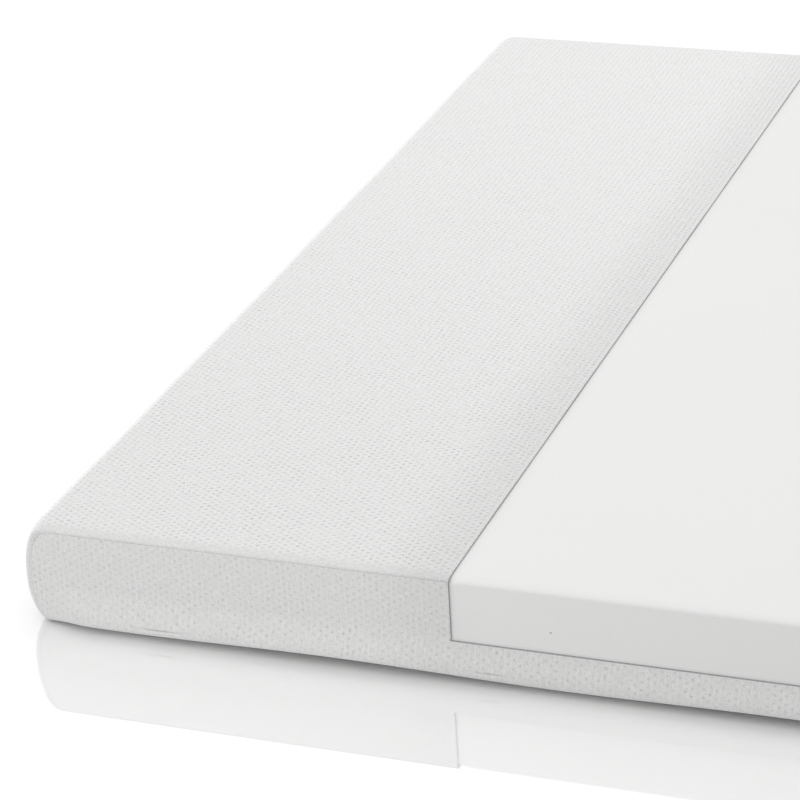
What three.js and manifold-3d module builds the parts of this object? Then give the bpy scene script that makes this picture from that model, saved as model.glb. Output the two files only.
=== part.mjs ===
// Cold foam mattress in a knitted cover, with a corner of the cover cut away to bare the foam.
// Millimetres, +Z up. X runs across the mattress and Y along it, and the front end faces -Y.
// The origin is on the floor, under the middle of the mattress.

import * as THREE from 'three';
import { mergeVertices } from 'three/addons/utils/BufferGeometryUtils.js';
import Module from 'manifold-3d';

// Driving sizes of the covered mattress
const WIDTH = 1400;
const LENGTH = 2000;
const SEAM_HEIGHT = 137.5;
const COVER = 2.5;
const GAP = 0.4;

// Section across the mattress: the sides bulge low down and draw in to the top and the floor
const BULGE_HEIGHT = 63;
const TOP_CORNER = 31;
const TOP_CORNER_POWER = 2.35;
const BOTTOM_CORNER = 28;
const BOTTOM_CORNER_POWER = 2;
const CROWN = 0.8;

// How the cover rounds towards the seam of each end panel
const END_DEPTH = 45;
const END_SIDE_INSET = 12;
const END_TOP_INSET = 2;
const END_BOTTOM_INSET = 0.5;
const SEAM_INSET = 1.2;

// The sides draw in a little between the ends
const DRAW_IN = 3;
const DRAW_IN_REACH = 300;

// The foam block has rounder end edges than the cover over it
const FOAM_EDGE_DEPTH = 15;
const FOAM_EDGE_DROP = 6;

// The cut: the cover is gone to the right of this place and above this height
const CUT_X = -101;
const CUT_Z = 52.5;
const CUT_REACH = 60;

// Steps of the curves
const TOP_CORNER_STEPS = 8;
const BOTTOM_CORNER_STEPS = 5;
const CROWN_STEPS = 6;
const END_STEPS = 5;
const BODY_STEPS = 8;
const MERGE_DISTANCE = 1e-4;

// Soft white cloth and foam
const COVER_LOOK = { color: 0xe6e6e5, roughness: 0.88, metalness: 0 };
const FOAM_LOOK = { color: 0xeeeeec, roughness: 0.95, metalness: 0 };

const quarterTurn = Math.PI / 2;

// Half width of the cover at a place along the mattress, before its ends are rounded
function halfWidth(y) {
  const fromEnd = Math.max(LENGTH / 2 - END_DEPTH - Math.abs(y), 0) / DRAW_IN_REACH;
  return WIDTH / 2 - DRAW_IN * (1 - Math.exp(-fromEnd * fromEnd));
}

// A quarter of a rounded corner: how far out and how far up it is at each step, from 0 to 1
function cornerCurve(steps, power) {
  const points = [];
  for (let step = 0; step <= steps; step += 1) {
    const angle = quarterTurn * step / steps;
    const out = Math.max(Math.cos(angle), 0) ** (2 / power);
    const up = Math.sin(angle) ** (2 / power);
    points.push({ out, up });
  }
  return points;
}

// Right half of the section from the floor to the middle of the top, as [x, z] points
function rightHalf(half, bottom, top) {
  const points = [];
  const lowCentre = half - BOTTOM_CORNER;
  for (const { out, up } of cornerCurve(BOTTOM_CORNER_STEPS, BOTTOM_CORNER_POWER).reverse()) {
    points.push([lowCentre + BOTTOM_CORNER * out, BULGE_HEIGHT - (BULGE_HEIGHT - bottom) * up]);
  }
  const highCentre = half - TOP_CORNER;
  for (const { out, up } of cornerCurve(TOP_CORNER_STEPS, TOP_CORNER_POWER).slice(1)) {
    points.push([highCentre + TOP_CORNER * out, BULGE_HEIGHT + (top - BULGE_HEIGHT) * up]);
  }
  for (let step = 1; step <= CROWN_STEPS / 2; step += 1) {
    const share = 1 - 2 * step / CROWN_STEPS;
    points.push([highCentre * share, top + CROWN * (1 - share * share)]);
  }
  return points;
}

// How far a section is drawn in at its sides, top and bottom, with a share of the end rounding
function insetAt(inset, round, drop = 0) {
  return {
    side: inset + END_SIDE_INSET * round + drop,
    top: inset + END_TOP_INSET * round + drop,
    bottom: inset + END_BOTTOM_INSET * round,
  };
}

// Whole section at a place along the mattress, drawn in by the given insets
function section(y, inset) {
  const half = halfWidth(y) - inset.side;
  const top = SEAM_HEIGHT + END_TOP_INSET - inset.top;
  const right = rightHalf(half, inset.bottom, top);
  const left = right.slice(0, -1).reverse().map(([x, z]) => [-x, z]);
  return [...right, ...left];
}

// A closed skin over sections at rising places along Y, with a flat cap at each end
function loft(stations) {
  const count = stations[0].outline.length;
  const positions = [];
  for (const { y, outline } of stations) {
    for (const [x, z] of outline) {
      positions.push(x, y, z);
    }
  }
  const triangles = [];
  for (let ring = 0; ring < stations.length - 1; ring += 1) {
    for (let i = 0; i < count; i += 1) {
      const next = (i + 1) % count;
      const a = ring * count + i;
      const b = ring * count + next;
      triangles.push(a, b + count, b, a, a + count, b + count);
    }
  }
  const flat = stations[0].outline.map(([x, z]) => new THREE.Vector2(x, z));
  const last = (stations.length - 1) * count;
  for (const [a, b, c] of THREE.ShapeUtils.triangulateShape(flat, [])) {
    triangles.push(a, b, c);
    triangles.push(last + a, last + c, last + b);
  }
  const geometry = new THREE.BufferGeometry();
  geometry.setAttribute('position', new THREE.Float32BufferAttribute(positions, 3));
  geometry.setIndex(triangles);
  return geometry;
}

// Depths from the end at which a rounding of this reach has its sections, closer near the end
function endDepths(reach) {
  const depths = [];
  for (let step = 0; step <= END_STEPS; step += 1) {
    depths.push(reach * (1 - Math.cos(quarterTurn * step / END_STEPS)));
  }
  return depths;
}

// Share of an end rounding that is left at a depth from the end: 1 at the end, 0 past its reach
function roundShare(depth, reach) {
  const along = Math.min(depth / reach, 1);
  return 1 - Math.sqrt(1 - (1 - along) ** 2);
}

// Places along Y of the sections, from the front end to the back
function stationPlaces(end, depths) {
  const body = end - END_DEPTH;
  const middle = [];
  for (let step = 1; step < BODY_STEPS; step += 1) {
    middle.push(-body * Math.cos(Math.PI * step / BODY_STEPS));
  }
  const front = depths.map((depth) => depth - end);
  const back = depths.map((depth) => end - depth).reverse();
  return [...front, ...middle, ...back];
}

// The form of the covered mattress, shrunk all round by an inset
function coveredForm(inset) {
  const end = LENGTH / 2 - inset;
  return loft(stationPlaces(end, endDepths(END_DEPTH)).map((y) => {
    const round = roundShare(end - Math.abs(y), END_DEPTH);
    return { y, outline: section(y, insetAt(inset, round)) };
  }));
}

// The foam block fills the cover but for the gap, and its end edges drop away a little more
function foamForm(inset) {
  const end = LENGTH / 2 - inset;
  const depths = [...endDepths(END_DEPTH), ...endDepths(FOAM_EDGE_DEPTH).slice(1)];
  depths.sort((a, b) => a - b);
  return loft(stationPlaces(end, depths).map((y) => {
    const depth = end - Math.abs(y);
    const drop = FOAM_EDGE_DROP * roundShare(depth, FOAM_EDGE_DEPTH);
    const outline = section(y, insetAt(inset, roundShare(depth, END_DEPTH), drop));
    return { y, outline };
  }));
}

// A block along Y inside the end seams, which parts each end panel from the sleeve
function seamBlock(endSign, inset) {
  const end = endSign * LENGTH / 2;
  const outline = section(end, insetAt(inset, 1));
  const reach = 3 * COVER;
  return loft([{ y: end - reach, outline }, { y: end + reach, outline }]);
}

const wasm = await Module();
wasm.setup();

// Turns a closed three.js geometry into a solid that can be cut
function toSolid(geometry) {
  const bare = geometry.clone();
  bare.deleteAttribute('normal');
  bare.deleteAttribute('uv');
  const merged = mergeVertices(bare, MERGE_DISTANCE);
  return new wasm.Manifold(new wasm.Mesh({
    numProp: 3,
    vertProperties: new Float32Array(merged.attributes.position.array),
    triVerts: new Uint32Array(merged.index.array),
  }));
}

// Turns a cut solid back into a three.js geometry
function toGeometry(solid) {
  const mesh = solid.getMesh();
  const geometry = new THREE.BufferGeometry();
  geometry.setAttribute('position', new THREE.Float32BufferAttribute(mesh.vertProperties, 3));
  geometry.setIndex(new THREE.Uint32BufferAttribute(mesh.triVerts, 1));
  geometry.computeVertexNormals();
  return geometry;
}

// A named piece of the mattress
function named(name, geometry, look) {
  const mesh = new THREE.Mesh(geometry, new THREE.MeshStandardMaterial(look));
  mesh.name = name;
  return mesh;
}

// The region where the cover is cut away, over the whole length
function cutRegion() {
  const high = SEAM_HEIGHT + CUT_REACH;
  const far = WIDTH / 2 + CUT_REACH;
  const box = new THREE.BoxGeometry(far - CUT_X, LENGTH + 2 * CUT_REACH, high - CUT_Z);
  box.translate((far + CUT_X) / 2, 0, (high + CUT_Z) / 2);
  return toSolid(box);
}

// The foam block
function makeCore() {
  return named('foam_core', foamForm(COVER + GAP), FOAM_LOOK);
}

// The cover: a panel at each end, and a sleeve round the top, the sides and the underside
function makeCover() {
  const shell = toSolid(coveredForm(0)).subtract(toSolid(coveredForm(COVER)));
  const cover = shell.subtract(cutRegion());
  let sleeve = cover;
  const pieces = [];
  for (const [name, endSign] of [['cover_front_panel', -1], ['cover_back_panel', 1]]) {
    const panel = cover.intersect(toSolid(seamBlock(endSign, SEAM_INSET)));
    sleeve = sleeve.subtract(toSolid(seamBlock(endSign, SEAM_INSET - GAP)));
    pieces.push(named(name, toGeometry(panel), COVER_LOOK));
  }
  pieces.push(named('cover_sleeve', toGeometry(sleeve), COVER_LOOK));
  return pieces;
}

const mattress = new THREE.Group();
mattress.name = 'cold_foam_mattress';
mattress.add(makeCore(), ...makeCover());

export default mattress;
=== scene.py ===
"""Looks of the cold foam mattress: its bare foam block and its knitted cover, cut away along one side.

Metres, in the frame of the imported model: X across the mattress, Y along it, +Z up, the front end at -Y.
"""

import math
from typing import NamedTuple

import bpy
import numpy as np
from mathutils import Matrix, Vector


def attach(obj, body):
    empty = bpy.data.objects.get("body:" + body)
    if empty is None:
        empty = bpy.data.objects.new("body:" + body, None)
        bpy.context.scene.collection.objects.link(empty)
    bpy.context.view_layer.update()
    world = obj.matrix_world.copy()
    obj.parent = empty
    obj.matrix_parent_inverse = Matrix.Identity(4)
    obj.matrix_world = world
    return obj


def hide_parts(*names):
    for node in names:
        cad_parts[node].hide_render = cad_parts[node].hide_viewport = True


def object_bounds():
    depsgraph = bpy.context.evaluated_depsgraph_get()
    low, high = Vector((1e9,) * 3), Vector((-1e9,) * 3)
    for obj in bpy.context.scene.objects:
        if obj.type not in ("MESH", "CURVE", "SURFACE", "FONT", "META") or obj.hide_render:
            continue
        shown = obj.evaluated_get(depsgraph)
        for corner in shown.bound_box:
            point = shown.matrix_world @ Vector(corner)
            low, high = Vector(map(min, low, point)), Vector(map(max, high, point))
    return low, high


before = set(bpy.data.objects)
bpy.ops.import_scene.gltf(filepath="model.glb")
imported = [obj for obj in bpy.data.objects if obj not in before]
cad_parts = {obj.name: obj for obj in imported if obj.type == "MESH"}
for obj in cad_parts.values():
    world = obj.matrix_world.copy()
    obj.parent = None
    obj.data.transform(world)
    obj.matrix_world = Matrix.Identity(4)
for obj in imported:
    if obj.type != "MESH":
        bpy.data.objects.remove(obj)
CAD_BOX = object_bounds()
CAD_LOW, CAD_HIGH = CAD_BOX
MM = 0.001
QUARTER = math.pi / 2

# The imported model's length, and its width from the left side, which is whole at its widest place
LENGTH = round((CAD_HIGH[1] - CAD_LOW[1]) / MM) * MM
WIDTH = round(-2 * CAD_LOW[0] / MM) * MM

# Other sizes of the covered mattress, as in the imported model
SEAM_HEIGHT = 137.5 * MM
BULGE_HEIGHT = 63 * MM
TOP_CORNER = 31 * MM
TOP_CORNER_POWER = 2.35
BOTTOM_CORNER = 28 * MM
BOTTOM_CORNER_POWER = 2.0
CROWN = 0.8 * MM
END_DEPTH = 45 * MM
END_SIDE = 12 * MM
END_TOP = 2 * MM
END_BOTTOM = 0.5 * MM
DRAW_IN = 3 * MM
DRAW_IN_REACH = 300 * MM
CUT_X = -101 * MM
CUT_Z = 52.5 * MM

# The cloth and its seams: the sleeve turns round the end's edge and meets the panel on its face
CLOTH = 2.2 * MM
FOAM_INSET = 2.9 * MM
EDGE_DEPTH = 3.5 * MM
EDGE_SIDE = 4.0 * MM
EDGE_TOP = 2.0 * MM
EDGE_BOTTOM = 1.0 * MM
SEAM_GAP = 0.15 * MM
SEAM_ROUND = 0.35 * MM
CUT_ROUND = 0.5 * MM
# Strips beside the cut that take the cut edge's grey, as painted shade along the cut
SLEEVE_CUT_SHADE_BAND = 0.4 * MM
PANEL_CUT_SHADE_BAND = 0.7 * MM

# How far a section draws in at its sides, top and bottom: at the rounded ends, and at their edges
ENDS = np.array([END_SIDE, END_TOP, END_BOTTOM])
EDGES = np.array([EDGE_SIDE, EDGE_TOP, EDGE_BOTTOM])

# The foam block's soft end edges, and how far its top rises where no cover holds it down
FOAM_EDGE_DEPTH = 15 * MM
FOAM_EDGE_DROP = 6 * MM
BARE_RISE = 2.6 * MM
BARE_REACH = 22 * MM

# Pitch of the dimples in the knit
TOP_COLUMN = 8.6 * MM
PANEL_COLUMN = 7.9 * MM
DIMPLE_PITCH = 9.8 * MM

# Waves of the cover's sides and top: each has its share of the whole, its length and its start
SIDE_WAVE = 1.2 * MM
SIDE_WAVE_REACH = 60 * MM
SIDE_WAVES_ALONG = ((1.0, 610 * MM, 0.1), (0.6, 270 * MM, 0.4))
SIDE_WAVE_UP = (0.4, 160 * MM, 0.2)
TOP_WAVE = 0.5 * MM
TOP_WAVE_REACH = 30 * MM
TOP_WAVE_ACROSS = (1.0, 430 * MM, 0.2)
TOP_WAVE_ALONG = (1.0, 520 * MM, 0.6)
TOP_WAVE_ASLANT = (0.5, 310 * MM, 0.1)

# The hem of each end panel lifts off the floor here and there
HEM_LIFT = 4.2 * MM
HEM_PERIOD = 584 * MM
HEM_CREST = -254 * MM
HEM_REACH = 26 * MM
HEM_DEPTH = 60 * MM

# The end panels swell a little low down and turn under at the floor, and the top falls to the seam
BELLY = 15.5 * MM
BELLY_TOP = 60 * MM
BELLY_LOW = 16 * MM
BELLY_MARGIN = 90 * MM
UNDER_HEIGHT = 13 * MM
UNDER_DEPTH = 42 * MM
UNDER_REACH = 80 * MM
END_ROLL = 1.4 * MM
END_ROLL_REACH = 24 * MM

# Short creases low on the front panel: from x, to x and height, with a soft fold below each
CREASES = ((-534 * MM, -462 * MM, 18 * MM), (-62 * MM, -26 * MM, 19 * MM))
CREASE_DEPTH = 2.0 * MM
CREASE_WIDTH = 0.8 * MM
CREASE_TAPER = 3.2
FOLD_RISE = 1.2 * MM
FOLD_WIDTH = 3.0 * MM
FOLD_DROP = 1.2 * FOLD_WIDTH

# Where painted shade darkens the cloth towards the cut, where the knit is plainer round the top corners,
# and where painted shade darkens the top as it rolls over to the end seams
CUT_SHADE_REACH = 130 * MM
CUT_SHADE_END = 400 * MM
CORNER_START = WIDTH / 2 - 34 * MM
CORNER_FULL = WIDTH / 2 - 12 * MM
CORNER_LOW = 80 * MM
CORNER_HIGH = 110 * MM
ROLL_SHADE_LOW = SEAM_HEIGHT - 30 * MM
ROLL_SHADE_HIGH = SEAM_HEIGHT - 10 * MM

# One large pore shows on the foam's front end
LARGE_PORE = (30 * MM, -LENGTH / 2 + FOAM_INSET, 80 * MM)
LARGE_PORE_CORE = 0.7 * MM
LARGE_PORE_RIM = 1.7 * MM

# Steps of the meshes
EDGE_STEPS = [0, 0.2 * MM, 0.4 * MM, 0.7 * MM, 1.1 * MM, 1.6 * MM, 3 * MM, 6 * MM]
TOP_STEPS = 48
TOP_CORNER_STEPS = 24
BOTTOM_CORNER_STEPS = 16
UNDERSIDE_STEPS = 60
STRIP_CORNER_STEPS = 13
STRIP_STEPS = 3
TURN_STEPS = 8
END_STEPS = 14
BODY_STEPS = 110
BORDER_STEPS = 60
PANEL_STEP = 12 * MM
PANEL_HIGH_STEPS = 16
FOAM_LOW_STEPS = 12
FOAM_HIGH_STEPS = 20
FOAM_TOP_STEPS = 70
FOAM_BARE_STEPS = 8
FOAM_EDGE_STEPS = 10
FOAM_END_STEPS = 8
FOAM_BODY_STEPS = 60

# Rows of the end panels: low down in parts of the height to the cut, and below the top seam
LOW_ROW_PARTS = 52
SEAM_ROWS = [0, 0.3, 0.6, 1, 1.6, 2.5, 3.5, 4.6, 5.8, 7, 8.3, 9.6, 11, 12.5, 14]
CREASE_ROWS = [15.4 + 0.4 * i for i in range(11)]
UPPER_ROWS = [20.5, 22, 24, 26, 28, 30.5, 33, 35.5, 38, 40, 42, 44, 46]
TOP_ROWS = [row * MM for row in (0, 0.2, 0.4, 0.7, 1.1, 1.6, 2.4, 3.5, 5, 7, 9.5, 12.5, 16)]
TOP_ROWS_REACH = 20 * MM

# Points closer than this to the cut are on it, and edges sharper than this angle stay sharp
TOUCHING = 1e-6
SHARP_ANGLE = math.radians(60)

# Colours of the cover, the foam and the cloth's cut edge, light and dark; the dark ones also give painted
# shade in the dimples and pores, and the cut edge's greys are partly painted shade along the cut
COVER_LIGHT = (0.665, 0.665, 0.66)
COVER_DARK = (0.405, 0.405, 0.402)
FOAM_LIGHT = (0.671, 0.671, 0.666)
FOAM_DARK = (0.40, 0.40, 0.395)
EDGE_LIGHT = (0.36, 0.36, 0.36)
EDGE_DARK = (0.26, 0.26, 0.26)
FLOOR_COLOR = (0.92, 0.92, 0.92)

# Knit: scales of its noises, ranges in which they act, and how far each one darkens or raises it
DRIFT_SCALE = 14.0
DRIFT = 0.35
FINE_SCALE = 150.0
FINE_RANGE = (0.35, 0.65, 0.4, 1.3)
COARSE_SCALE = 32.0
COARSE_RANGE = (0.35, 0.65, 0.75, 1.25)
RUN_SCALES = (3.2, 0.7, 1.0)
YARN_SCALE = 480.0
YARN_DETAIL = 3.0
TUFT_SCALES = (4.5, 2.0, 1.0)
TUFT_RANGE = (0.58, 0.7)
LOOP_RANGE = (-0.3, -0.9)
LINE_RANGE = (0.5, 0.1)
CORNER_PLAIN = 0.8
KNIT_GREY = 0.11
RUN_SHADE = 0.6
YARN_SHADE = 0.8
TUFT_LIGHT = 0.14
LOOP_HIGHLIGHT = 0.25
YARN_HEIGHT = 0.3
RUN_HEIGHT = 0.3
DIMPLE_DEPTH = 0.45
KNIT_RELIEF = 1.0 * MM

# Foam: fine cells, few larger pores, and faint clouds of a slightly darker white
CELL_SCALE = 800.0
CELL_HEIGHT = 0.12
PORE_SCALE = 45.0
PORE_RANGE = (0.03, 0.06, 1.0, 0.0)
RARE_SCALE = 9.0
RARE_RANGE = (0.66, 0.7)
CLOUD_SCALE = 3.0
CLOUD_DETAIL = 3.0
CLOUD_RANGE = (0.3, 0.7, 0.0, 0.03)
FOAM_RELIEF = 0.6 * MM

# Threads of the cloth's cut edge
FRAY_SCALE = 900.0
FRAY_DETAIL = 3.0
FRAY_RELIEF = 0.3 * MM

# Camera of the photo: to the right of the cut, ahead of the front end and above the floor
CAMERA_RIGHT = 1240.8 * MM
CAMERA_AHEAD = 3315.7 * MM
CAMERA_HEIGHT = 2051.7 * MM
CAMERA_YAW = 21.27
CAMERA_PITCH = 25.15
CAMERA_ROLL = -3.36
FOCAL_PIXELS = 3228
FRAME_PIXELS = 800
SENSOR = 36.0
CAMERA_REACH = 100.0

# Stage
FLOOR_REACH = 40.0
WORLD_STRENGTH = 1.02


# Shape of the section and of the ends


def half_width(y):
    """Half the mattress's width at a place along it, before its ends are rounded."""
    from_end = max(LENGTH / 2 - END_DEPTH - abs(y), 0) / DRAW_IN_REACH
    return WIDTH / 2 - DRAW_IN * (1 - math.exp(-from_end * from_end))


def round_share(depth, reach):
    """Share of a rounding that is left at a depth from its start: 1 at the start, 0 past its reach."""
    along = min(max(depth, 0) / reach, 1)
    return 1 - math.sqrt(1 - (1 - along) ** 2)


def round_drop(distance, radius):
    """How far a rounded edge falls away at each distance from it."""
    along = np.clip(distance / radius, 0, 1)
    return radius * (1 - np.sqrt(1 - (1 - along) ** 2))


def corner_place(angle, power):
    """How far out and how far up a rounded corner is at an angle, both from 0 to 1."""
    return max(math.cos(angle), 0) ** (2 / power), math.sin(angle) ** (2 / power)


class Section:
    """The mattress's outline across at one place along Y, drawn in by an inset on every side."""

    def __init__(self, y, side, top, bottom):
        self.half = half_width(y) - side
        self.top = SEAM_HEIGHT + END_TOP - top
        self.bottom = bottom
        self.top_half = self.half - TOP_CORNER
        self.bottom_half = self.half - BOTTOM_CORNER

    def top_at(self, x):
        return self.top + CROWN * (1 - min(abs(x) / self.top_half, 1) ** 2)

    def on_top(self, x):
        return (x, self.top_at(x))

    def on_top_corner(self, angle, side):
        out, up = corner_place(angle, TOP_CORNER_POWER)
        x = self.top_half + TOP_CORNER * out
        return (side * x, BULGE_HEIGHT + (self.top - BULGE_HEIGHT) * up)

    def on_bottom_corner(self, angle, side):
        out, down = corner_place(angle, BOTTOM_CORNER_POWER)
        x = self.bottom_half + BOTTOM_CORNER * out
        return (side * x, BULGE_HEIGHT - (BULGE_HEIGHT - self.bottom) * down)

    def side_at(self, z):
        """How far out the side stands at a height."""
        if z > BULGE_HEIGHT:
            share = min((z - BULGE_HEIGHT) / (self.top - BULGE_HEIGHT), 1)
            corner, power = TOP_CORNER, TOP_CORNER_POWER
        else:
            share = min((BULGE_HEIGHT - z) / (BULGE_HEIGHT - self.bottom), 1)
            corner, power = BOTTOM_CORNER, BOTTOM_CORNER_POWER
        return self.half - corner * (1 - max(1 - share**power, 0) ** (1 / power))


def end_depths(reach, steps):
    """Depths from the end at which a rounding of this reach has its sections, closer near the end."""
    return [reach * (1 - math.cos(QUARTER * i / steps)) for i in range(steps + 1)]


# Unevenness, as small moves of the points of the cover


def smooth(share):
    """The share, from 0 to 1, with a soft start and stop."""
    share = np.clip(share, 0, 1)
    return share * share * (3 - 2 * share)


def wave(position, share, period, start):
    """A wave of this height, length and start at each position."""
    return share * np.sin(2 * math.pi * (position / period + start))


def settle(points):
    """Moves points of the cover a little, as cloth that was pulled on by hand lies."""
    x, y, z = points.T
    moved = points.copy()
    end = LENGTH / 2 - np.abs(y)
    inner = np.clip(end / END_DEPTH, 0, 1)
    side = np.clip((np.abs(x) - WIDTH / 2) / SIDE_WAVE_REACH + 1, 0, 1)
    waves = [wave(y, *along) for along in SIDE_WAVES_ALONG] + [wave(z, *SIDE_WAVE_UP)]
    peak = SIDE_WAVE_UP[0] + sum(share for share, _, _ in SIDE_WAVES_ALONG)
    moved[:, 0] += np.sign(x) * side * inner * SIDE_WAVE * (sum(waves) / peak - 1)
    high = np.clip((z - SEAM_HEIGHT) / TOP_WAVE_REACH + 1, 0, 1)
    swell = wave(x, *TOP_WAVE_ACROSS) * wave(y, *TOP_WAVE_ALONG) + wave(x + y, *TOP_WAVE_ASLANT)
    moved[:, 2] += high * inner * TOP_WAVE * (swell - 1)
    moved = shape_hem(moved, points)
    roll = END_ROLL * np.clip(1 - end / END_ROLL_REACH, 0, 1) ** 2
    moved[:, 2] -= roll * smooth((z - BULGE_HEIGHT) / (SEAM_HEIGHT - BULGE_HEIGHT))
    return moved


def shape_hem(moved, points):
    """Swells the ends low down, turns them under at the floor and lifts the hem here and there."""
    x, y, z = points.T
    end = LENGTH / 2 - np.abs(y)
    fade = np.clip(1 - end / UNDER_REACH, 0, 1) ** 2
    inside = smooth((WIDTH / 2 - END_SIDE - np.abs(x)) / BELLY_MARGIN)
    belly = BELLY * inside * smooth((BELLY_TOP - z) / (BELLY_TOP - BELLY_LOW))
    under = UNDER_DEPTH * inside * round_drop(z / UNDER_HEIGHT, 1)
    moved[:, 1] += np.sign(y) * fade * (belly - under)
    near_floor = np.exp(-((z / HEM_REACH) ** 2))
    lift = HEM_LIFT * (0.5 + 0.5 * np.cos(2 * math.pi * (x - HEM_CREST) / HEM_PERIOD))
    moved[:, 2] += lift * near_floor * smooth(1 - end / HEM_DEPTH)
    return moved


# Meshes


def make_piece(name, points, faces, materials, face_slots=None, uvs=None):
    """A mesh object of the given points and faces, smooth, with the knit's own coordinates."""
    mesh = bpy.data.meshes.new(name)
    mesh.from_pydata([tuple(p) for p in points], [], faces)
    for material in materials:
        mesh.materials.append(material)
    if face_slots is not None:
        mesh.polygons.foreach_set("material_index", face_slots)
    if uvs is not None:
        layer = mesh.uv_layers.new(name="knit")
        corners = np.zeros(len(mesh.loops), np.int32)
        mesh.loops.foreach_get("vertex_index", corners)
        layer.data.foreach_set("uv", np.asarray(uvs, np.float32)[corners].ravel())
    mesh.shade_smooth()
    mesh.update()
    piece = bpy.data.objects.new(name, mesh)
    bpy.context.scene.collection.objects.link(piece)
    return piece


def cloth_piece(name, outer, inner, faces, uvs, from_cut, cut_shade_band, materials):
    """Closes a sheet of cloth: its outer face, its inner face and the rim between them."""
    count = len(outer)
    uses = {}
    for face in faces:
        for a, b in zip(face, face[1:] + face[:1]):
            uses[(a, b)] = uses.get((a, b), 0) + 1
    rim = [(a, b) for a, b in uses if (b, a) not in uses]
    # Faces on the cut and in a strip beside it take the cut edge's grey, which is partly painted shade
    # along the cut
    band = from_cut < cut_shade_band + TOUCHING
    at_cut = from_cut < TOUCHING
    outer_slots = [int(all(band[i] for i in face)) for face in faces]
    rim_slots = [int(at_cut[a] and at_cut[b]) for a, b in rim]
    inner_faces = [tuple(i + count for i in reversed(face)) for face in faces]
    rim_faces = [(b, a, a + count, b + count) for a, b in rim]
    piece = make_piece(
        name,
        settle(np.vstack([outer, inner])),
        [tuple(f) for f in faces] + inner_faces + rim_faces,
        materials,
        outer_slots + [0] * len(inner_faces) + rim_slots,
        np.vstack([uvs, uvs]),
    )
    piece.data.set_sharp_from_angle(angle=SHARP_ANGLE)
    return piece


def spread(start, stop, near, count):
    """Places from start to stop: close steps at the start, then count even ones."""
    sign = 1 if stop > start else -1
    first = [start + sign * offset for offset in near]
    rest = abs(stop - first[-1])
    return first + [first[-1] + sign * rest * i / count for i in range(1, count + 1)]


# The sleeve round the top, the sides and the underside


def sleeve_path(section):
    """Points round the section from the cut on top to the cut on the right, over the left side."""
    points = [section.on_top(x) for x in spread(CUT_X, -section.top_half, EDGE_STEPS, TOP_STEPS)]
    for i in range(1, TOP_CORNER_STEPS + 1):
        points.append(section.on_top_corner(QUARTER * (1 - i / TOP_CORNER_STEPS), -1))
    for i in range(1, BOTTOM_CORNER_STEPS + 1):
        points.append(section.on_bottom_corner(QUARTER * i / BOTTOM_CORNER_STEPS, -1))
    for i in range(1, UNDERSIDE_STEPS + 1):
        points.append((section.bottom_half * (2 * i / UNDERSIDE_STEPS - 1), section.bottom))
    for i in range(1, STRIP_CORNER_STEPS - 1):
        points.append(section.on_bottom_corner(QUARTER * (1 - i / STRIP_CORNER_STEPS), 1))
    heights = spread(CUT_Z, points[-1][1], EDGE_STEPS, STRIP_STEPS)[:-1]
    return points + [(section.side_at(z), z) for z in reversed(heights)]


def sleeve_stations():
    """End, depth from it and share of the turn round the end's edge, from front to back."""
    turn = [QUARTER * (1 - i / TURN_STEPS) for i in range(TURN_STEPS + 1)]
    front = [(-1, EDGE_DEPTH * (1 - math.sin(angle)), 1 - math.cos(angle)) for angle in turn]
    past_turn = 1.1 * EDGE_DEPTH
    front += [(-1, depth, 0.0) for depth in end_depths(END_DEPTH, END_STEPS) if depth > past_turn]
    body = LENGTH / 2 - END_DEPTH
    places = [body * (1 - 2 * i / BODY_STEPS) for i in range(1, BODY_STEPS)]
    middle = [(-1, LENGTH / 2 - place, 0.0) for place in places]
    back = [(1, depth, lip) for _, depth, lip in reversed(front)]
    return front + middle + back


def sleeve_ring(sign, depth, lip):
    """Outer and inner points of the sleeve at one station."""
    inset = ENDS * round_share(depth, END_DEPTH)
    y = sign * (LENGTH / 2 - depth)
    outer = Section(y, *(inset + EDGES * lip))
    inner = Section(y, *np.minimum(CLOTH + inset, ENDS + EDGES if depth < END_DEPTH else CLOTH))
    y_outer = y - sign * round_drop(EDGE_TOP * (1 - lip), SEAM_ROUND)
    y_inner = max(CLOTH - LENGTH / 2, min(LENGTH / 2 - CLOTH, y_outer))
    outer_points = [(x, y_outer, z) for x, z in sleeve_path(outer)]
    inner_points = [(x, y_inner, z) for x, z in sleeve_path(inner)]
    return outer_points, inner_points


def path_lengths(points):
    """Length of the path through the points, up to each of them."""
    return np.concatenate([[0], np.cumsum(np.linalg.norm(np.diff(points, axis=0), axis=1))])


def make_sleeve(materials):
    """The sleeve, and the width and length of the cloth that it takes."""
    rings = [sleeve_ring(*station) for station in sleeve_stations()]
    outer = np.array([ring for ring, _ in rings])
    inner = np.array([ring for _, ring in rings])
    rows, columns = outer.shape[:2]
    around = path_lengths(outer[rows // 2])
    along = path_lengths(outer[:, columns // 3])
    across_uv, along_uv = np.meshgrid(around / TOP_COLUMN, along / DIMPLE_PITCH)
    uvs = np.stack([across_uv, along_uv], -1).reshape(-1, 2)
    from_cut = np.tile(np.minimum(around, around[-1] - around), rows)
    outer, inner = outer.reshape(-1, 3), inner.reshape(-1, 3)
    inward = inner - outer
    inward /= np.linalg.norm(inward, axis=1)[:, None]
    outer = outer + inward * round_drop(from_cut, CUT_ROUND)[:, None]
    faces = []
    for row in range(rows - 1):
        for a in range(row * columns, (row + 1) * columns - 1):
            faces.append([a, a + 1, a + 1 + columns, a + columns])
    piece = cloth_piece("knit_sleeve", outer, inner, faces, uvs, from_cut, SLEEVE_CUT_SHADE_BAND, materials)
    return piece, (float(around[-1]), float(along[-1]))


# The end panels


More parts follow.
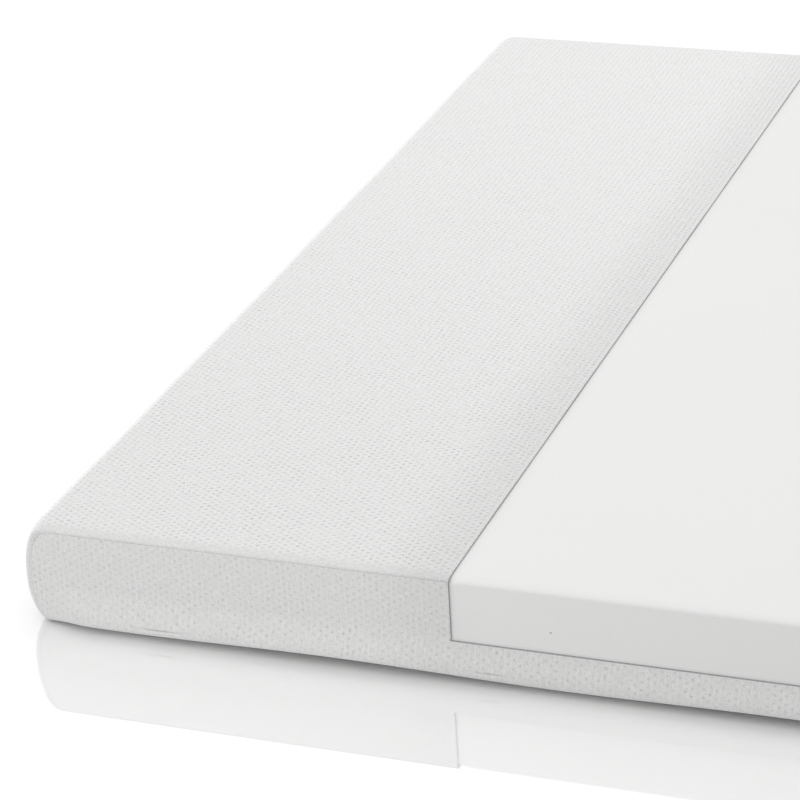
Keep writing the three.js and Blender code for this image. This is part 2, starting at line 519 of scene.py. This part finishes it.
def panel_rows(section):
    """The panel's rows as shares of the height up to the cut, and of the height above it."""
    height = CUT_Z - section.bottom
    below = [row / LOW_ROW_PARTS for row in SEAM_ROWS + CREASE_ROWS + UPPER_ROWS]
    below += [1 - offset / height for offset in EDGE_STEPS[:-1]]
    span = section.top - CUT_Z
    above = [offset / span for offset in spread(0, span - TOP_ROWS_REACH, EDGE_STEPS[2:], PANEL_HIGH_STEPS)]
    above += [1 - offset / span for offset in TOP_ROWS]
    return sorted(set(below)), sorted(set(above))


def panel_columns(width):
    """Shares of a width, from the border to the cut, close together at both."""
    count = round(width / PANEL_STEP)
    places = [offset / width for offset in EDGE_STEPS]
    places += [i / count for i in range(2, count)]
    places += [1 - offset / width for offset in EDGE_STEPS]
    return sorted(set(places))


def border_pieces(section):
    """Start and step of each short straight piece along the section's four rounded corners."""
    angles = [QUARTER * i / BORDER_STEPS for i in range(BORDER_STEPS + 1)]
    pieces = []
    for side in (-1, 1):
        for corner in (section.on_top_corner, section.on_bottom_corner):
            curve = np.array([corner(angle, side) for angle in angles])
            pieces += zip(curve, np.diff(curve, axis=0))
    return pieces


def outline_distance(points, section):
    """Distance of each point (x, z) from the panel's sewn border."""
    x, z = points.T
    under_top = np.array([section.top_at(place) for place in x]) - z
    distance = np.where(np.abs(x) < section.top_half, under_top, WIDTH)
    over_bottom = np.where(np.abs(x) < section.bottom_half, z - section.bottom, WIDTH)
    distance = np.minimum(distance, over_bottom)
    for start, step in border_pieces(section):
        offset = points - start
        share = np.clip(offset @ step / (step @ step), 0, 1)
        gap = np.linalg.norm(offset - share[:, None] * step, axis=1)
        distance = np.minimum(distance, gap)
    return np.maximum(distance, 0)


def cut_distance(points):
    """Distance of each point (x, z) from the cut-away region."""
    right = np.maximum(CUT_X - points[:, 0], 0)
    below = np.maximum(CUT_Z - points[:, 1], 0)
    return np.hypot(right, below)


def panel_grid(section):
    """Points (x, z) and faces of the L-shaped panel, in rows that follow its drawn-in sides."""
    below, above = panel_rows(section)
    left_shares = panel_columns(section.half + CUT_X)
    right_shares = [1 - share for share in reversed(panel_columns(section.half - CUT_X)[:-1])]
    rows = []
    for share in below:
        z = section.bottom + (CUT_Z - section.bottom) * share
        side = section.side_at(z)
        row = [(-side + (CUT_X + side) * place, z) for place in left_shares]
        rows.append(row + [(CUT_X + (side - CUT_X) * place, z) for place in right_shares])
    for share in above:
        side = section.side_at(CUT_Z + (section.top - CUT_Z) * share)
        places = [-side + (CUT_X + side) * place for place in left_shares]
        rows.append([(x, CUT_Z + (section.top_at(x) - CUT_Z) * share) for x in places])
    faces = []
    first = 0
    for row, next_row in zip(rows, rows[1:]):
        above_first = first + len(row)
        for c in range(len(next_row) - 1):
            faces.append([first + c, first + c + 1, above_first + c + 1, above_first + c])
        first = above_first
    return np.array([point for row in rows for point in row]), faces


def crease_depth(points):
    """How deep the short creases are at each point (x, z)."""
    x, z = points.T
    depth = np.zeros(len(points))
    for start, stop, height in CREASES:
        share = (x - start) / (stop - start)
        along = smooth(CREASE_TAPER * (0.5 - np.abs(share - 0.5)))
        depth += CREASE_DEPTH * along * np.exp(-(((z - height) / CREASE_WIDTH) ** 2))
        depth -= FOLD_RISE * along * np.exp(-(((z - height + FOLD_DROP) / FOLD_WIDTH) ** 2))
    return depth


def make_panel(name, sign, materials):
    """The end panel at the front or the back, as its sign says, with rounded border and cut."""
    section = Section(sign * LENGTH / 2, *(ENDS + EDGES + SEAM_GAP))
    flat, faces = panel_grid(section)
    from_cut = cut_distance(flat)
    from_seam = outline_distance(flat, section)
    depth = np.maximum(round_drop(from_seam, SEAM_ROUND), round_drop(from_cut, CUT_ROUND))
    if sign < 0:
        depth += crease_depth(flat)
    y_outer = sign * (LENGTH / 2 - depth)
    y_inner = np.full(len(flat), sign * (LENGTH / 2 - CLOTH))
    outer = np.stack([flat[:, 0], y_outer, flat[:, 1]], -1)
    inner = np.stack([flat[:, 0], y_inner, flat[:, 1]], -1)
    uvs = flat / np.array([PANEL_COLUMN, DIMPLE_PITCH])
    if sign > 0:
        faces = [list(reversed(face)) for face in faces]
    return cloth_piece(name, outer, inner, faces, uvs, from_cut, PANEL_CUT_SHADE_BAND, materials)


# The foam block


def foam_side(section):
    """Right side of the foam's outline, from the underside to the top."""
    low = [QUARTER * (1 - i / FOAM_LOW_STEPS) for i in range(FOAM_LOW_STEPS)]
    high = [QUARTER * i / FOAM_HIGH_STEPS for i in range(FOAM_HIGH_STEPS + 1)]
    side = [section.on_bottom_corner(angle, 1) for angle in low]
    return side + [section.on_top_corner(angle, 1) for angle in high]


def foam_shares(section):
    """Places across the foam as shares of its half width, from right to left, closer by the cut."""
    span = section.top_half
    places = [span * (1 - 2 * i / FOAM_TOP_STEPS) for i in range(1, FOAM_TOP_STEPS)]
    places += [CUT_X + BARE_REACH * (i + 0.5) / FOAM_BARE_STEPS for i in range(FOAM_BARE_STEPS)]
    return [x / span for x in sorted(places, reverse=True)]


def foam_outline(section):
    """Points up the right side, over the top, down the left side and back along the underside."""
    right = foam_side(section)
    left = [(-x, z) for x, z in reversed(right)]
    shares = foam_shares(section)
    top = [section.on_top(section.top_half * share) for share in shares]
    bottom = [(section.bottom_half * share, section.bottom) for share in reversed(shares)]
    return right + top + left + bottom


def foam_cap(section, y, first, next_index):
    """Inner points and faces of the foam's end face, whose rim is the outline that starts at first."""
    side = foam_side(section)
    shares = foam_shares(section)
    rows, columns = len(side), len(shares)
    points, index = [], {}
    for r, (x, z) in enumerate(side):
        index[(r, 0)] = first + r
        index[(r, columns + 1)] = first + 2 * rows + columns - 1 - r
        height = (z - section.bottom) / (section.top - section.bottom)
        for c, share in enumerate(shares, 1):
            if r == rows - 1:
                index[(r, c)] = first + rows + c - 1
            elif r == 0:
                index[(r, c)] = first + 2 * rows + 2 * columns - c
            else:
                crown = section.top_at(section.top_half * share) - section.top
                index[(r, c)] = next_index + len(points)
                points.append((x * share, y, z + crown * height))
    faces = []
    for r in range(rows - 1):
        for c in range(columns + 1):
            faces.append((index[(r, c)], index[(r + 1, c)], index[(r + 1, c + 1)], index[(r, c + 1)]))
    return points, faces


def swell_bare(points):
    """Lets the foam's top rise a little beside the cut, where the cover is gone."""
    bare = smooth((points[:, 0] - CUT_X) / BARE_REACH)
    high = smooth((points[:, 2] - BULGE_HEIGHT) / (SEAM_HEIGHT - BULGE_HEIGHT))
    points[:, 2] += BARE_RISE * bare * high
    return points


def foam_section(y):
    """The foam's outline at one place along Y."""
    depth = LENGTH / 2 - FOAM_INSET - abs(y)
    drop = FOAM_EDGE_DROP * round_share(depth, FOAM_EDGE_DEPTH)
    inset = FOAM_INSET + ENDS * round_share(depth, END_DEPTH)
    return Section(y, inset[0] + drop, inset[1] + drop, inset[2])


def make_foam(material):
    """The foam block: rings along its length, and a cap at each end."""
    end = LENGTH / 2 - FOAM_INSET
    edge = end_depths(FOAM_EDGE_DEPTH, FOAM_EDGE_STEPS)
    depths = sorted(set(edge + end_depths(END_DEPTH, FOAM_END_STEPS)))
    body = end - END_DEPTH
    places = [depth - end for depth in depths]
    places += [-body * (1 - 2 * i / FOAM_BODY_STEPS) for i in range(1, FOAM_BODY_STEPS)]
    places += [end - depth for depth in reversed(depths)]
    rings = [[(x, y, z) for x, z in foam_outline(foam_section(y))] for y in places]
    count = len(rings[0])
    points = [point for ring in rings for point in ring]
    faces = []
    for ring in range(len(rings) - 1):
        for i in range(count):
            a, b = ring * count + i, ring * count + (i + 1) % count
            faces.append((a + count, b + count, b, a))
    for ring, sign in ((0, -1), (len(rings) - 1, 1)):
        inner, cap = foam_cap(foam_section(sign * end), sign * end, ring * count, len(points))
        points += inner
        faces += [face[::-sign] for face in cap]
    points = np.array(points)
    points = swell_bare(shape_hem(points.copy(), points))
    piece = make_piece("foam_block", points, faces, [material])
    piece.data.set_sharp_from_angle(angle=SHARP_ANGLE)
    return piece


# Materials


class Graph:
    """A material with this look on its shader's own sockets, and short calls to add nodes."""

    def __init__(self, name, look):
        self.material = bpy.data.materials.new(name)
        self.material.use_nodes = True
        self.tree = self.material.node_tree
        self.shader = self.tree.nodes["Principled BSDF"]
        for key, value in look.items():
            self.shader.inputs[key].default_value = value

    def node(self, kind, values=(), **settings):
        """A node with these settings, and these values or links on its first inputs."""
        made = self.tree.nodes.new(kind)
        for key, value in settings.items():
            setattr(made, key, value)
        for value, socket in zip(values, made.inputs):
            self.link(value, socket)
        return made

    def link(self, source, target):
        if isinstance(source, (int, float, tuple)):
            target.default_value = source
        else:
            self.tree.links.new(source, target)

    def place(self):
        return self.node("ShaderNodeTexCoord").outputs["Object"]

    def split(self, vector):
        return tuple(self.node("ShaderNodeSeparateXYZ", (vector,)).outputs)

    def scaled(self, vector, scales):
        return self.node("ShaderNodeVectorMath", (vector, scales), operation="MULTIPLY").outputs[0]

    def distance(self, vector, point):
        made = self.node("ShaderNodeVectorMath", (vector, point), operation="DISTANCE")
        return made.outputs["Value"]

    def math(self, operation, *values):
        return self.node("ShaderNodeMath", values, operation=operation).outputs[0]

    def total(self, first, *others):
        for other in others:
            first = self.math("ADD", first, other)
        return first

    def product(self, first, *others):
        for other in others:
            first = self.math("MULTIPLY", first, other)
        return first

    def weighted(self, *terms):
        """Sum of values, each times its weight."""
        return self.total(*(self.product(value, weight) for value, weight in terms))

    def range(self, value, low, high, to_low=0.0, to_high=1.0, smooth=True):
        values = (value, low, high, to_low, to_high)
        kind = "SMOOTHSTEP" if smooth else "LINEAR"
        return self.node("ShaderNodeMapRange", values, interpolation_type=kind).outputs[0]

    def noise(self, vector, scale, detail=2.0):
        made = self.node("ShaderNodeTexNoise")
        made.inputs["Scale"].default_value = scale
        made.inputs["Detail"].default_value = detail
        self.link(vector, made.inputs["Vector"])
        return made.outputs["Fac"]

    def uneven(self, vector, scale, detail=2.0):
        """Noise about zero."""
        return self.math("SUBTRACT", self.noise(vector, scale, detail), 0.5)

    def cells(self, vector, scale):
        """Distance from the middle of the nearest cell."""
        made = self.node("ShaderNodeTexVoronoi", feature="F1")
        made.inputs["Scale"].default_value = scale
        self.link(vector, made.inputs["Vector"])
        return made.outputs["Distance"]

    def color(self, share, light, dark):
        """Colours the surface from light, at a share of 0, to dark, at 1."""
        made = self.node("ShaderNodeMix", (share,), data_type="RGBA")
        made.inputs[6].default_value = (*light, 1)
        made.inputs[7].default_value = (*dark, 1)
        self.link(made.outputs[2], self.shader.inputs["Base Color"])

    def bump(self, height, distance):
        made = self.node("ShaderNodeBump")
        made.inputs["Strength"].default_value = 1.0
        made.inputs["Distance"].default_value = distance
        self.link(height, made.inputs["Height"])
        self.link(made.outputs[0], self.shader.inputs["Normal"])


class KnitLook(NamedTuple):
    """How the knit looks on one kind of piece."""

    name: str
    # Ranges of the lattice's waves over which a dimple fades across and along its column
    across: tuple
    along: tuple
    # How much painted shade darkens the dimples' pits, and how light the lines between the columns
    dimple_shade: float
    line_light: float
    # How much painted shade darkens the cloth by the cut, at the front end and at the back end
    cut_shade: float
    front_shade: float
    back_shade: float
    # How strong the dimples and the lines are at the back end, where the cloth is pulled longer
    back_dimples: float
    back_lines: float
    # The axis, the places on it between which the dimples grow, and the painted shade on the plain cloth
    # where the top rolls over to the end seams
    plain_axis: int
    plain_from: float
    plain_to: float
    seam_roll_shade: float


def front_to_back(g, y, front, back):
    """A value that changes evenly from the front end to the back end."""
    return g.range(y, -LENGTH / 2, LENGTH / 2, front, back, smooth=False)


def knit_waves(g, place, uv):
    """The lattice's waves: 1 at the middle of every column, and 1 at a column's dimples."""
    across, along, _ = g.split(uv)
    drift = g.product(g.uneven(place, DRIFT_SCALE), DRIFT)
    column = g.math("COSINE", g.product(g.total(across, drift), math.pi))
    rows = g.math("COSINE", g.product(g.math("SUBTRACT", along, drift), 2 * math.pi))
    return g.math("ABSOLUTE", column), g.product(rows, g.math("SIGN", column))


def knit_dimple(g, look, waves, sides):
    """How deep a full dimple is, which is less round the top corners and towards the back end."""
    rib, dots = waves
    x, y, z = sides
    corner = g.range(g.math("ABSOLUTE", x), CORNER_START, CORNER_FULL, 0.0, CORNER_PLAIN)
    corner = g.product(corner, g.range(z, CORNER_LOW, CORNER_HIGH))
    dimple = g.product(g.range(rib, *look.across), g.range(dots, *look.along))
    kept = g.product(g.math("SUBTRACT", 1.0, corner), front_to_back(g, y, 1.0, look.back_dimples))
    return g.product(dimple, kept)


def knit_grey_and_shade(g, look, sides, grown):
    """How grey the cloth is: an even grey of its own, and painted shade by the cut, towards the front end
    and where the top rolls over to the end seams.
    """
    x, y, z = sides
    # Painted shade: the cloth darkens towards the cut, and this fades out towards the right side
    shade_by_cut = g.range(x, CUT_X - CUT_SHADE_REACH, CUT_X, 0.0, look.cut_shade)
    shade_by_cut = g.product(shade_by_cut, g.range(x, CUT_SHADE_END, WIDTH / 2, 1.0, 0.0))
    # Painted shade that darkens the cloth evenly towards the front end
    end_shade = front_to_back(g, y, look.front_shade, look.back_shade)
    # Painted shade where the top rolls over to the end seams, on the cloth that is plain there
    rolled_shade = g.range(z, ROLL_SHADE_LOW, ROLL_SHADE_HIGH, 0.0, look.seam_roll_shade)
    return g.total(shade_by_cut, KNIT_GREY, end_shade, g.product(g.math("SUBTRACT", 1.0, grown), rolled_shade))


def make_knit(look):
    """White knit: staggered dimples in columns, loops between them and uneven yarn along them; the dimples
    get painted shade and the loops painted highlights.
    """
    g = Graph(look.name, {"Roughness": 0.85, "Sheen Weight": 0.9, "Sheen Roughness": 0.4})
    place = g.place()
    sides = g.split(place)
    uv = g.node("ShaderNodeUVMap", uv_map="knit").outputs[0]
    rib, dots = knit_waves(g, place, uv)
    fine = g.range(g.noise(place, FINE_SCALE), *FINE_RANGE, smooth=False)
    strength = g.product(fine, g.range(g.noise(place, COARSE_SCALE), *COARSE_RANGE))
    grown = g.range(g.math("ABSOLUTE", sides[look.plain_axis]), look.plain_from, look.plain_to)
    dimple = g.product(knit_dimple(g, look, (rib, dots), sides), strength, grown)
    loop = g.product(g.range(rib, *look.across), g.range(dots, *LOOP_RANGE))
    stretched = front_to_back(g, sides[1], 1.0, look.back_lines)
    line = g.product(g.range(rib, *LINE_RANGE), strength, stretched)
    run = g.uneven(g.scaled(uv, RUN_SCALES), 1.0, YARN_DETAIL)
    yarn = g.uneven(place, YARN_SCALE, YARN_DETAIL)
    tuft = g.range(g.noise(g.scaled(uv, TUFT_SCALES), 1.0, 1.0), *TUFT_RANGE)
    g.bump(g.weighted((yarn, YARN_HEIGHT), (run, RUN_HEIGHT), (dimple, -DIMPLE_DEPTH)), KNIT_RELIEF)
    # The dimples' pits are darkened with painted shade and the loops between them lightened with a painted
    # highlight; runs, yarn and tufts vary the tone at random
    shade = g.weighted(
        (dimple, look.dimple_shade),
        (loop, -LOOP_HIGHLIGHT * look.dimple_shade),
        (run, RUN_SHADE),
        (yarn, YARN_SHADE),
        (tuft, -TUFT_LIGHT),
        (line, -look.line_light),
    )
    g.color(g.total(shade, knit_grey_and_shade(g, look, sides, grown)), COVER_LIGHT, COVER_DARK)
    return g.material


def make_cut_edge_and_shade():
    """The cloth's cut edge: frayed threads, grey partly from the raw edge's backing and partly as painted
    shade along the cut.
    """
    g = Graph("cut_edge_and_shade", {"Roughness": 0.9})
    fray = g.noise(g.place(), FRAY_SCALE, FRAY_DETAIL)
    g.color(fray, EDGE_LIGHT, EDGE_DARK)
    g.bump(fray, FRAY_RELIEF)
    return g.material


def make_foam_material():
    """Bare foam: even and matt, with very fine cells, a few larger pores and one large one, whose pits get
    painted shade.
    """
    g = Graph("cold_foam", {"Roughness": 0.95})
    place = g.place()
    pores = g.range(g.cells(place, PORE_SCALE), *PORE_RANGE)
    pores = g.product(pores, g.range(g.noise(place, RARE_SCALE), *RARE_RANGE))
    large = g.range(g.distance(place, LARGE_PORE), LARGE_PORE_CORE, LARGE_PORE_RIM, 1.0, 0.0)
    pores = g.math("MAXIMUM", pores, large)
    cells = g.product(g.cells(place, CELL_SCALE), CELL_HEIGHT)
    g.bump(g.math("SUBTRACT", cells, pores), FOAM_RELIEF)
    clouds = g.range(g.noise(place, CLOUD_SCALE, CLOUD_DETAIL), *CLOUD_RANGE, smooth=False)
    # The pores are darkened with painted shade; the clouds are the foam's own uneven white
    g.color(g.total(clouds, pores), FOAM_LIGHT, FOAM_DARK)
    return g.material


# Stage, light and camera


def make_floor():
    """A wide pale floor with a faint reflection."""
    mesh = bpy.data.meshes.new("floor")
    far = FLOOR_REACH
    corners = [(-far, -far, 0), (far, -far, 0), (far, far, 0), (-far, far, 0)]
    mesh.from_pydata(corners, [], [(0, 1, 2, 3)])
    look = {"Base Color": (*FLOOR_COLOR, 1), "Metallic": 0.45, "Roughness": 0.02}
    mesh.materials.append(Graph("pale_floor", look).material)
    floor = bpy.data.objects.new("floor", mesh)
    bpy.context.scene.collection.objects.link(floor)


def soft_lamp(name, place, tilt, turn, size, energy):
    """A round soft lamp that shows in no reflection.

    A tilt of 0 lights down and 90 level, towards the back. The turn is to the left, seen from above."""
    lamp = bpy.data.lights.new(name, "AREA")
    lamp.shape = "DISK"
    lamp.size = size
    lamp.energy = energy
    light = bpy.data.objects.new(name, lamp)
    light.location = place
    light.rotation_euler = (math.radians(tilt), 0, math.radians(turn))
    light.visible_camera = False
    light.visible_glossy = False
    bpy.context.scene.collection.objects.link(light)


def make_lights():
    """An even white sky, a large soft lamp overhead and small ones low in front and on the left."""
    world = bpy.data.worlds.new("studio")
    bpy.context.scene.world = world
    world.use_nodes = True
    background = world.node_tree.nodes["Background"]
    background.inputs["Color"].default_value = (1, 1, 1, 1)
    background.inputs["Strength"].default_value = WORLD_STRENGTH
    soft_lamp("overhead", (-0.3, 0.8, 4.5), tilt=-9, turn=0, size=5.0, energy=65.0)
    soft_lamp("front", (-0.6, -2.3, 0.3), tilt=87, turn=0, size=0.6, energy=2.6)
    soft_lamp("left", (-2.7, -0.6, 0.07), tilt=90, turn=-90, size=0.13, energy=12.0)


def make_camera():
    """The photo's camera, placed from the cut and the front end."""
    yaw, pitch, roll = (math.radians(v) for v in (CAMERA_YAW, CAMERA_PITCH, CAMERA_ROLL))
    ahead = Vector((-math.sin(yaw) * math.cos(pitch), math.cos(yaw) * math.cos(pitch), -math.sin(pitch)))
    level = Vector((math.cos(yaw), math.sin(yaw), 0))
    upright = level.cross(ahead)
    right = math.cos(roll) * level + math.sin(roll) * upright
    up = math.cos(roll) * upright - math.sin(roll) * level
    place = Vector((CUT_X + CAMERA_RIGHT, -LENGTH / 2 - CAMERA_AHEAD, CAMERA_HEIGHT))
    data = bpy.data.cameras.new("camera")
    data.sensor_width = SENSOR
    data.lens = FOCAL_PIXELS * SENSOR / FRAME_PIXELS
    data.clip_end = CAMERA_REACH
    camera = bpy.data.objects.new("camera", data)
    bpy.context.scene.collection.objects.link(camera)
    camera.matrix_world = Matrix((
        (right.x, up.x, -ahead.x, place.x),
        (right.y, up.y, -ahead.y, place.y),
        (right.z, up.z, -ahead.z, place.z),
        (0, 0, 0, 1),
    ))
    bpy.context.scene.camera = camera


def set_view():
    """Plain colours, as the materials give them."""
    view = bpy.context.scene.view_settings
    view.view_transform = "Standard"
    view.look = "None"


make_camera()
set_view()
make_lights()
make_floor()

sleeve_knit = make_knit(KnitLook(
    name="sleeve_knit",
    across=(0.4, 0.95),
    along=(0.3, 0.95),
    dimple_shade=0.38,
    line_light=0.1,
    cut_shade=0.24,
    front_shade=0.2,
    back_shade=0.108,
    back_dimples=0.65,
    back_lines=3.4,
    plain_axis=1,
    plain_from=LENGTH / 2 - 8 * MM,
    plain_to=LENGTH / 2 - 22 * MM,
    seam_roll_shade=0.16,
))
panel_knit = make_knit(KnitLook(
    name="panel_knit",
    across=(0.7, 1.0),
    along=(0.4, 1.0),
    dimple_shade=0.19,
    line_light=0.07,
    cut_shade=0.14,
    front_shade=0.11,
    back_shade=0.0,
    back_dimples=1.0,
    back_lines=1.0,
    plain_axis=2,
    plain_from=8 * MM,
    plain_to=26 * MM,
    seam_roll_shade=0.0,
))
cut_edge_and_shade = make_cut_edge_and_shade()
foam = make_foam(make_foam_material())
sleeve, sleeve_size = make_sleeve([sleeve_knit, cut_edge_and_shade])
front_panel = make_panel("knit_front_panel", -1, [panel_knit, cut_edge_and_shade])
back_panel = make_panel("knit_back_panel", 1, [panel_knit, cut_edge_and_shade])

for piece, node, slot in (
    (foam, "foam_core", "foam"),
    (sleeve, "cover_sleeve", "cover"),
    (front_panel, "cover_front_panel", "cover"),
    (back_panel, "cover_back_panel", "cover"),
):
    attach(piece, "root")
    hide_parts(node)
